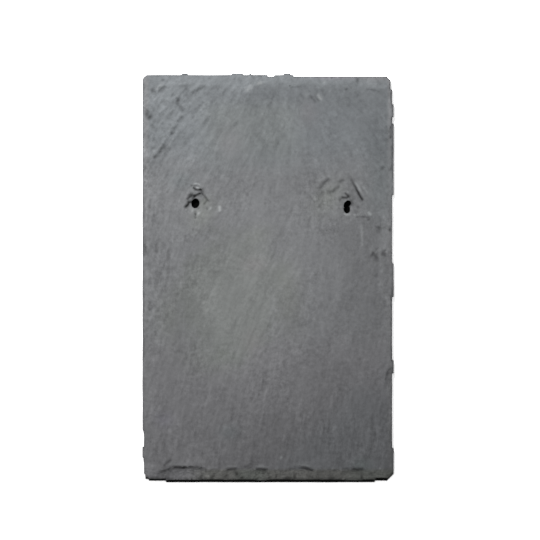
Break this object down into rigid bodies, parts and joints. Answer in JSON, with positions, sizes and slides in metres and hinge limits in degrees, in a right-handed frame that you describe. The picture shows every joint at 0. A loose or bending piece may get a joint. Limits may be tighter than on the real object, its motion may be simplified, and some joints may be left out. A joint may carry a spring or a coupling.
{
  "type": "slate roof tile",
  "caption": "Rectangular riven slate with dressed, flaked edges, clipped corners and punched oval nail holes near its middle, lying on its bed.",
  "frame": {"origin": "on the bed, under the middle of the slate's box", "axes": "+Z out of the weather face, +Y along the length towards the head, +X across to the right"},
  "size_m": [0.2468, 0.4016, 0.009],
  "materials": {
    "riven_slate": "riven, matt, weathered blue-grey with broken olive edges"
  },
  "bodies": {
    "root": {"slate_tile": "riven_slate"}
  },
  "joints": []
}
